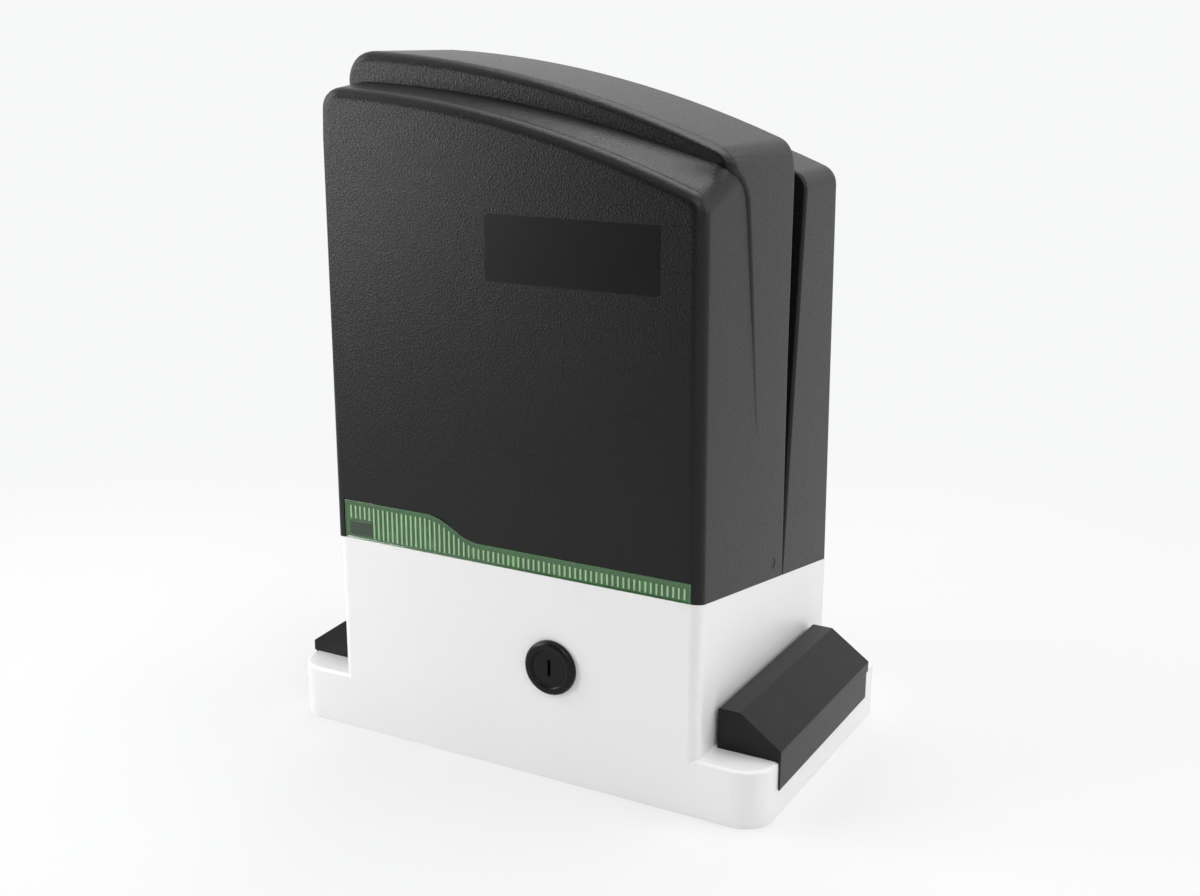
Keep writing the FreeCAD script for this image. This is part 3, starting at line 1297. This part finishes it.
def make_motor():
    stack_low, stack_high = stator_low_z(), stator_high_z()
    base_z, bell_top = motor_base_z(), stator_high_z() + dim("bell_height")
    hollow = dim("motor_side") / 2 - 6
    shaft_hole = dim("motor_shaft_radius") + 1
    floor = 3
    lower = square_block("motor_lower_bell", base_z, stack_low)
    pocket(lower, "lower_hollow", "top", base_z + floor, stack_low,
           lambda sketch: draw_circle(sketch, (worm_x, 0), hollow))
    pocket(lower, "lower_shaft_hole", "top", base_z, base_z + floor,
           lambda sketch: draw_circle(sketch, (worm_x, 0), shaft_hole))
    drill_motor_bolts(lower, "lower", base_z, stack_low)
    node(lower, "motor_lower_bell")

    stator = square_block("motor_stator", stack_low, stack_high)
    pocket(stator, "stator_bore", "top", stack_low, stack_high, lambda sketch: draw_circle(
        sketch, (worm_x, 0), dim("rotor_radius") + dim("air_gap")))
    drill_motor_bolts(stator, "stator", stack_low, stack_high)
    node(stator, "motor_stator")

    upper = square_block("motor_upper_bell", stack_high, bell_top)
    crown = lambda e: all(abs(v.Z - bell_top.value) < 0.01 for v in e.Vertexes)
    round_edges(upper, "bell_crown", 3, crown)
    pocket(upper, "upper_hollow", "top", stack_high, bell_top - floor,
           lambda sketch: draw_circle(sketch, (worm_x, 0), hollow))
    bearing_z = motor_top_bearing_z()
    bearing_top = bearing_z + dim("small_bearing_width")
    pad(upper, "bearing_cup", "top", bearing_z - 3, bearing_top + 2,
        lambda sketch: draw_circle(sketch, (worm_x, 0), dim("small_bearing_radius") + 4))
    pocket(upper, "bearing_seat", "top", bearing_z, bearing_top, lambda sketch: draw_circle(
        sketch, (worm_x, 0), dim("small_bearing_radius") + running_gap))
    pocket(upper, "upper_shaft_hole", "top", bearing_z - 3, bearing_z,
           lambda sketch: draw_circle(sketch, (worm_x, 0), shaft_hole))
    drill_motor_bolts(upper, "upper", stack_high, bell_top)
    node(upper, "motor_upper_bell")

    inner, outer, reach = dim("rotor_radius") + 4, hollow - 2, 13
    coils = [part_ring(f"end_winding_{number}", (worm_x, 0, start), "z", outer, inner, reach)
             for number, start in enumerate((stack_low - reach, stack_high))]
    node(group("end_windings", coils), "stator_windings")
    bolts = [screw(f"motor_bolt_{number}", (x, y, bell_top), "z", 4.4, 4, dim("motor_bolt_radius"),
                   bell_top - base_z + 6) for number, (x, y) in enumerate(motor_bolt_places())]
    node(group("motor_bolt_set", bolts), "motor_bolts")


# ---------------------------------------------------------------------------------------------
# Chassis plate and electrical equipment
# ---------------------------------------------------------------------------------------------
plate_low = dim("chassis_z")
plate_top = plate_low + dim("chassis_thickness")
half_plate = dim("chassis_width") / 2
front_plate = -dim("chassis_depth") / 2
motor_clear = dim("motor_side") / 2 + 2


def make_chassis_plate():
    flange = 2
    body = new_body("chassis_plate")
    pad(body, "plate", "top", plate_low, plate_top, lambda sketch: draw_rectangle(
        sketch, (-half_plate, front_plate), (half_plate, -front_plate)))
    round_edges(body, "plate_corners", 8, upright_edge)
    pad(body, "front_flange", "front", front_plate - flange, front_plate, lambda sketch: draw_rectangle(
        sketch, (-half_plate + 6, plate_low), (half_plate - 6, plate_low + dim("chassis_flange"))))
    pocket(body, "motor_opening", "top", plate_low, plate_top, lambda sketch: draw_rectangle(
        sketch, (worm_x - motor_clear, -motor_clear), (worm_x + motor_clear + 10, motor_clear)))
    pocket(body, "plate_holes", "top", plate_low, plate_top, circles(list(post_places()), 2.3))
    pocket(body, "wire_hole", "top", plate_low, plate_top,
           lambda sketch: draw_circle(sketch, (dim("grommet_x") - 10, dim("grommet_y")), 9))
    node(body, "chassis_plate")
    screws = [screw(f"chassis_screw_{number}", (x, y, plate_top), "z", 4, 2.6, 2 - running_gap, 14)
              for number, (x, y) in enumerate(post_places())]
    node(group("chassis_screw_set", screws), "chassis_screws")


def make_led_board():
    board_rear = front_plate - 2
    board_front = board_rear - dim("board_thickness")
    low, high = plate_low + 6, plate_low + dim("chassis_flange") - 1
    node(part_box("led_board", (-half_plate + 8, board_front, low), (half_plate - 8, board_rear, high)),
         "status_led_board")
    leds = []
    count = 7
    for number in range(count):
        x = -half_plate + 22 + (dim("chassis_width") - 44) / (count - 1) * number
        leds.append(part_box(f"led_{number}", (x - 2.5, board_front - 1.4, high - 8),
                             (x + 2.5, board_front, high - 4)))
    node(group("led_set", leds), "status_leds")


def make_capacitor():
    place = (dim("capacitor_x"), dim("capacitor_y"))
    radius, height = dim("capacitor_radius"), dim("capacitor_height")
    body = new_body("run_capacitor", (*place, plate_top))
    outline = [(0, 0), (radius, 0), (radius, height), (radius - 4, height), (radius - 4, height + 1.5),
               (0, height + 1.5)]
    revolve(body, "can", "front", "V_Axis", lambda sketch: draw_polygon(sketch, outline))
    is_shoulder = lambda e: abs(e.Length - 2 * math.pi * SIZES["capacitor_radius"]) < 0.1
    round_edges(body, "can_edges", 1.5, is_shoulder)
    pad(body, "terminals", "top", height + 1, height + 9, lambda sketch: (
        draw_rectangle(sketch, (-6, -3), (-5.2, 3), "a"), draw_rectangle(sketch, (5.2, -3), (6, 3), "b")))
    node(body, "run_capacitor")
    band_z = plate_top + 26
    band = part_ring("clamp_band", (*place, band_z), "z", radius + 1.5, radius + running_gap, 14)
    left, right = place[0] - 4, place[0] + 4
    rim = place[1] + radius
    ear = part_box("clamp_ear", (left, rim + 1, band_z), (right, rim + 9, band_z + 14))
    leg = part_box("clamp_leg", (left, rim + 5, plate_top), (right, rim + 7, band_z + 2))
    node(join("capacitor_clamp_solid", [band, ear, leg]), "capacitor_clamp")


def make_transformer():
    x, y = dim("transformer_x"), dim("transformer_y")
    wide, deep, tall = dim("transformer_width"), dim("transformer_depth"), dim("transformer_height")
    stack = deep * 0.5
    limb = wide / 6
    core = new_body("transformer_core", (x, y, plate_top))

    def frame(sketch):
        draw_rectangle(sketch, (-wide / 2, 0), (wide / 2, tall))
        draw_rectangle(sketch, (-wide / 2 + limb, limb), (-limb, tall - limb), "a")
        draw_rectangle(sketch, (limb, limb), (wide / 2 - limb, tall - limb), "b")
    pad(core, "laminations", "front", -stack / 2, stack / 2, frame)
    pad(core, "mounting_feet", "top", 0, 2, lambda sketch: draw_rectangle(
        sketch, (-wide / 2 + 4, -deep / 2), (wide / 2 - 4, deep / 2)))
    node(core, "transformer_core")
    gap = joint_gap
    coil = new_body("transformer_coil", (x, y, plate_top))
    pad(coil, "winding", "top", limb + gap, tall - limb - gap, lambda sketch: (
        draw_rectangle(sketch, (-wide / 2 + limb + gap, -deep / 2), (wide / 2 - limb - gap, deep / 2)),
        draw_rectangle(sketch, (-limb - gap, -stack / 2 - gap), (limb + gap, stack / 2 + gap), "a")))
    on_face = lambda e: upright_edge(e) and abs(abs(e.Vertexes[0].Y) - deep.value / 2) < 0.01
    round_edges(coil, "winding_edges", 3, on_face)
    node(coil, "transformer_coil")


def make_control_board():
    half, wall = dim("tray_width") / 2, dim("tray_wall")
    front, rear = dim("tray_front"), dim("tray_front") + dim("tray_depth")
    low = plate_top + dim("tray_lift")
    high = low + dim("tray_height")
    tray = new_body("board_tray")
    pad(tray, "tray_block", "front", front, rear, lambda sketch: draw_rectangle(
        sketch, (-half, low), (half, high)))
    round_edges(tray, "tray_corners", 4, lambda e: runs_along(e, Vector(0, 1, 0)))
    pocket(tray, "tray_inside", "front", front, rear - wall, lambda sketch: draw_rectangle(
        sketch, (-half + wall, low + wall), (half - wall, high - wall)))
    standoffs = [(side * (half - 12), z) for side in (-1, 1) for z in (low + 12, high - 12)]
    board_rear = rear - wall - 4
    pad(tray, "standoffs", "front", board_rear, rear - wall, circles(standoffs, 3.5))
    pocket(tray, "standoff_pilots", "front", board_rear, rear, circles(standoffs, 1.6 + running_gap))
    pad(tray, "tray_legs", "front", rear - 8, rear, lambda sketch: (
        draw_rectangle(sketch, (-half + 15, plate_top), (-half + 33, low + 1), "a"),
        draw_rectangle(sketch, (half - 33, plate_top), (half - 15, low + 1), "b")))
    node(tray, "board_tray")

    board_front = board_rear - dim("board_thickness")
    edge = wall + 2
    board = new_body("control_board")
    pad(board, "board", "front", board_front, board_rear, lambda sketch: draw_rectangle(
        sketch, (-half + edge, low + edge), (half - edge, high - edge)))
    pocket(board, "board_holes", "front", board_front, board_rear, circles(standoffs, 1.8))
    node(board, "control_board")
    screws = [screw(f"board_screw_{number}", (x, board_front, z), "y", 3, 1.8, 1.6, 4, reverse=True)
              for number, (x, z) in enumerate(standoffs)]
    node(group("board_screw_set", screws), "board_screws")
    place_components(board_front, half, low, high)


def place_components(board_front, half, low, high):
    """Terminals along the foot of the board, relays above them, then the fuse and the receiver."""
    pitch, poles = 10, 7
    blocks = []
    for number, start in enumerate((-half + 20, half - 20 - pitch * poles)):
        shell = part_box(f"terminal_{number}", (start, board_front - 9, low + 16),
                         (start + pitch * poles, board_front, low + 28))
        wells = []
        for pole in range(poles):
            left = start + pitch * pole
            wells.append(part_box(f"terminal_well_{number}_{pole}", (left + 2, board_front - 10, low + 18),
                                  (left + 8, board_front - 5, low + 24)))
        blocks.append(cut(f"terminal_block_{number}", shell, wells))
    node(group("terminal_block_set", blocks), "terminal_blocks")
    relays = [part_box(f"relay_{number}", (-half + 24 + 24 * number, board_front - 13, low + 42),
                       (-half + 43 + 24 * number, board_front, low + 58)) for number in range(3)]
    node(group("relay_set", relays), "relays")
    tube = part_cylinder("fuse_tube", (half - 56, board_front - 3.5, low + 46), "x", 2.6, 20)
    holder = part_box("fuse_base", (half - 60, board_front - 3.5, low + 43),
                      (half - 32, board_front, low + 49))
    node(join("fuse_solid", [tube, holder]), "board_fuse")
    receiver = part_box("receiver_board", (half - 66, board_front - 7, low + 70),
                        (half - 26, board_front, low + 96))
    node(receiver, "radio_receiver")
    node(part_box("processor", (-12, board_front - 3, low + 72), (6, board_front, low + 90)), "control_chip")


def make_limit_sensor():
    rear = dim("chassis_depth") / 2 - 2
    low, high = plate_top, plate_top + 34
    body = new_body("sensor_bracket")
    pad(body, "bracket_upright", "front", rear - 2, rear, lambda sketch: draw_rectangle(
        sketch, (axis_x - 16, low), (axis_x + 16, high)))
    pad(body, "bracket_foot", "top", low, low + 2, lambda sketch: draw_rectangle(
        sketch, (axis_x - 16, rear - 16), (axis_x + 16, rear)))
    node(body, "sensor_bracket")
    sensor = part_box("limit_sensor_box", (axis_x - 22, rear, high - 16), (axis_x + 22, rear + 4, high))
    node(sensor, "limit_sensor")


# ---------------------------------------------------------------------------------------------
# Build, test and write
# ---------------------------------------------------------------------------------------------
make_base_housing()
make_cable_grommet()
make_cover_shell()
make_status_lens()
make_cover_screws()
make_anchor_cover(-1, "anchor_cover_left")
make_anchor_cover(1, "anchor_cover_right")
make_lock_bezel()
make_lock_nut()
make_lock_plug()
make_release_cam()
make_release_rod()
make_gearbox_housing()
make_gearbox_lid()
make_gearbox_small_parts()
make_bearings()
make_output_shaft()
make_worm_wheel()
make_dog_clutch()
make_clutch_spring()
make_drive_pinion()
make_pinion_fasteners()
make_worm_shaft()
make_rotor()
make_motor()
make_chassis_plate()
make_led_board()
make_capacitor()
make_transformer()
make_control_board()
make_limit_sensor()
doc.recompute()

failed = [item.Name for item in doc.Objects if "Invalid" in item.State or "Error" in item.State]
if failed:
    raise RuntimeError(f"features that did not build: {failed}")
for item in nodes:
    if item.Shape.isNull() or not item.Shape.isValid():
        raise RuntimeError(f"{item.Label} has no valid shape")
for item in nodes:
    item.Shape.exportStep(f"parts/{item.Label}.step")
print(len(nodes), "sub-parts written")
